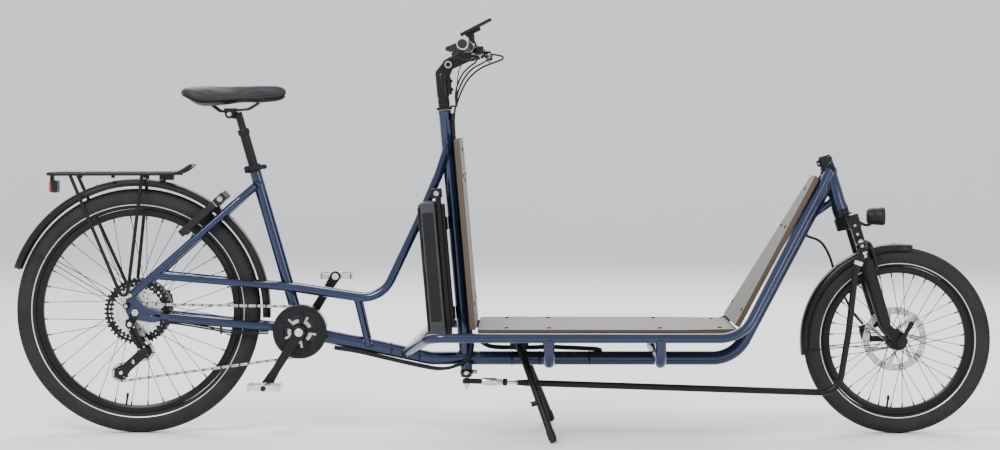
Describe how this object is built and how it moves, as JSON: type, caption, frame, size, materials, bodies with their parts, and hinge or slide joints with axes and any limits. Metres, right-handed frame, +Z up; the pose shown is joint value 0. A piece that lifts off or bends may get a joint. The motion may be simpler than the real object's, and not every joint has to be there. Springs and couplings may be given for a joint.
{
  "type": "cargo bicycle",
  "caption": "Electric cargo bicycle with a flat load deck ahead of the rider, end panels, rod steering, suspension fork, rear rack and folding stand.",
  "frame": {"origin": "on the ground under the middle of the bicycle's length, in its middle plane", "axes": "+X forward, +Y to the rider's left, +Z up; the drive side is at -Y"},
  "size_m": [2.7174, 0.6728, 1.1538],
  "materials": {
    "frame_blue": "metallic dark blue gloss",
    "satin_black": "satin black",
    "plastic_black": "satin black plastic",
    "rubber_black": "matt black",
    "tyre": "dark grey",
    "silver": "brushed",
    "steel": "plain steel",
    "board_grey": "grey beige coated plywood",
    "saddle_skin": "dark grey",
    "anodised_black": "black anodised"
  },
  "bodies": {
    "frame": {"main_tube": "frame_blue", "steering_tube": "frame_blue", "head_tube": "frame_blue", "side_rail_right": "frame_blue", "side_rail_left": "frame_blue", "deck_hoop_rear": "frame_blue", "deck_hoop_front": "frame_blue", "seat_tube": "frame_blue", "upper_tube_right": "frame_blue", "upper_tube_left": "frame_blue", "seat_stay_right": "frame_blue", "seat_stay_left": "frame_blue", "chain_stay_right": "frame_blue", "chain_stay_left": "frame_blue", "motor": "plastic_black", "rear_fender": "satin_black", "rack": "satin_black", "deck_board": "board_grey", "rear_panel": "board_grey", "front_panel": "board_grey", "battery_rail": "anodised_black", "kickstand_bracket": "satin_black", "ring_lock": "plastic_black", "derailleur_body": "satin_black", "chain": "steel", "frame_cables": "rubber_black", "fork_hose": "rubber_black"},
    "rear_wheel": {"rear_tyre": "tyre", "rear_rim": "anodised_black", "rear_hub": "silver"},
    "cassette": {"cassette": "steel"},
    "crank": {"crankset": "anodised_black"},
    "pedal_right": {"pedal_right": "silver"},
    "pedal_left": {"pedal_left": "silver"},
    "derailleur_cage": {"derailleur_cage": "satin_black"},
    "guide_pulley": {"guide_pulley": "plastic_black"},
    "tension_pulley": {"tension_pulley": "plastic_black"},
    "battery": {"battery": "plastic_black"},
    "kickstand": {"kickstand": "satin_black"},
    "seat_post": {"seat_post": "anodised_black"},
    "seat_head": {"seat_post_head": "anodised_black", "saddle": "saddle_skin"},
    "seat_clamp_lever": {"seat_clamp_lever": "silver"},
    "steering_column": {"steering_shaft": "satin_black", "cockpit_cables": "rubber_black"},
    "handlebar": {"stem": "anodised_black", "handlebar": "anodised_black"},
    "display": {"display": "plastic_black"},
    "brake_lever_right": {"brake_lever_right": "anodised_black"},
    "brake_lever_left": {"brake_lever_left": "anodised_black"},
    "shifter": {"shifter_paddle": "plastic_black"},
    "tie_rod": {"tie_rod": "satin_black"},
    "fork": {"fork_crown": "anodised_black", "headlight": "plastic_black"},
    "fork_lowers": {"fork_lowers": "anodised_black", "front_fender": "satin_black"},
    "front_axle": {"front_axle": "steel"},
    "front_wheel": {"front_tyre": "tyre", "front_rim": "anodised_black", "front_hub": "silver"}
  },
  "joints": [
    {"name": "rear_wheel_spin", "type": "hinge", "parent": "frame", "child": "rear_wheel", "pos_m": [-1.01, 0, 0.34], "axis": [0, 1, 0], "continuous": true},
    {"name": "crank_spin", "type": "hinge", "parent": "frame", "child": "crank", "pos_m": [-0.5575, 0, 0.286], "axis": [0, 1, 0], "continuous": true},
    {"name": "cassette_spin", "type": "hinge", "parent": "frame", "child": "cassette", "pos_m": [-1.01, 0, 0.34], "axis": [0, 1, 0], "continuous": true},
    {"name": "pedal_right_spin", "type": "hinge", "parent": "crank", "child": "pedal_right", "pos_m": [-0.64665, -0.148, 0.14125], "axis": [0, 1, 0], "continuous": true},
    {"name": "pedal_left_spin", "type": "hinge", "parent": "crank", "child": "pedal_left", "pos_m": [-0.46835, 0.148, 0.43075], "axis": [0, 1, 0], "continuous": true},
    {"name": "cage_swing", "type": "hinge", "parent": "frame", "child": "derailleur_cage", "pos_m": [-0.985, -0.062, 0.2323], "axis": [0, -1, 0], "range_deg": [0, 50], "stiffness_Nm_per_rad": 0.35, "springref_deg": -34.38, "deforming": ["chain"]},
    {"name": "guide_pulley_spin", "type": "hinge", "parent": "derailleur_cage", "child": "guide_pulley", "pos_m": [-0.985, -0.062, 0.2323], "axis": [0, 1, 0], "continuous": true},
    {"name": "tension_pulley_spin", "type": "hinge", "parent": "derailleur_cage", "child": "tension_pulley", "pos_m": [-1.0512, -0.062, 0.1725], "axis": [0, 1, 0], "continuous": true},
    {"name": "kickstand_fold", "type": "hinge", "parent": "frame", "child": "kickstand", "pos_m": [0.0495, 0, 0.25], "axis": [0, 1, 0], "range_deg": [0, 88]},
    {"name": "battery_slide", "type": "slide", "parent": "frame", "child": "battery", "axis": [-0.0847, 0, 0.9964], "range_m": [0, 0.08]},
    {"name": "seat_height", "type": "slide", "parent": "frame", "child": "seat_post", "axis": [-0.2765, 0, 0.961], "range_m": [-0.05, 0.03]},
    {"name": "seat_suspension", "type": "slide", "parent": "seat_post", "child": "seat_head", "axis": [-0.2765, 0, 0.961], "range_m": [-0.03, 0], "stiffness_N_per_m": 12000, "springref_m": 0.02},
    {"name": "seat_clamp_lever_turn", "type": "hinge", "parent": "frame", "child": "seat_clamp_lever", "pos_m": [-0.70744, -0.023, 0.73768], "axis": [-0.2765, 0, 0.961], "range_deg": [-120, 0]},
    {"name": "fork_steer", "type": "hinge", "parent": "frame", "child": "fork", "pos_m": [0.9413, 0, 0.6195], "axis": [-0.2945, 0, 0.9557], "range_deg": [-20, 20], "deforming": ["fork_hose"]},
    {"name": "column_steer", "type": "hinge", "parent": "frame", "child": "steering_column", "pos_m": [-0.096, 0, 0.1678], "axis": [-0.0847, 0, 0.9964], "range_deg": [-20, 20], "deforming": ["cockpit_cables"]},
    {"name": "tie_rod_pivot", "type": "hinge", "parent": "steering_column", "child": "tie_rod", "pos_m": [-0.095, -0.115, 0.1555], "axis": [-0.0847, 0.0223, 0.9962], "range_deg": [-20, 20]},
    {"name": "fork_travel", "type": "slide", "parent": "fork", "child": "fork_lowers", "axis": [-0.2945, 0, 0.9557], "range_m": [0, 0.04], "stiffness_N_per_m": 5000, "springref_m": -0.05},
    {"name": "front_wheel_spin", "type": "hinge", "parent": "fork_lowers", "child": "front_wheel", "pos_m": [1.099, 0, 0.259], "axis": [0, 1, 0], "continuous": true},
    {"name": "front_axle_turn", "type": "hinge", "parent": "fork_lowers", "child": "front_axle", "pos_m": [1.099, 0, 0.259], "axis": [0, 1, 0], "range_deg": [0, 170]},
    {"name": "stem_angle", "type": "hinge", "parent": "steering_column", "child": "handlebar", "pos_m": [-0.1477, 0, 1.024], "axis": [0, 1, 0], "range_deg": [-25, 10]},
    {"name": "display_tilt", "type": "hinge", "parent": "handlebar", "child": "display", "pos_m": [-0.085, 0, 1.054], "axis": [0, 1, 0], "range_deg": [-15, 20]},
    {"name": "brake_lever_right_pull", "type": "hinge", "parent": "handlebar", "child": "brake_lever_right", "pos_m": [-0.034, -0.156, 1.048], "axis": [0, 0, 1], "range_deg": [0, 16], "stiffness_Nm_per_rad": 0.8, "springref_deg": -6.88},
    {"name": "brake_lever_left_pull", "type": "hinge", "parent": "handlebar", "child": "brake_lever_left", "pos_m": [-0.034, 0.156, 1.048], "axis": [0, 0, -1], "range_deg": [0, 16], "stiffness_Nm_per_rad": 0.8, "springref_deg": -6.88},
    {"name": "shifter_push", "type": "hinge", "parent": "handlebar", "child": "shifter", "pos_m": [-0.1065, -0.168, 1.04], "axis": [0, 0, 1], "range_deg": [-18, 18], "stiffness_Nm_per_rad": 0.05}
  ],
  "couplings": [
    {"joint": "cassette_spin", "follows": "crank_spin", "ratio": 3.0909},
    {"joint": "guide_pulley_spin", "follows": "crank_spin", "ratio": -2.8333},
    {"joint": "tension_pulley_spin", "follows": "crank_spin", "ratio": 2.8333},
    {"joint": "column_steer", "follows": "fork_steer", "ratio": 1},
    {"joint": "tie_rod_pivot", "follows": "fork_steer", "ratio": -1}
  ]
}
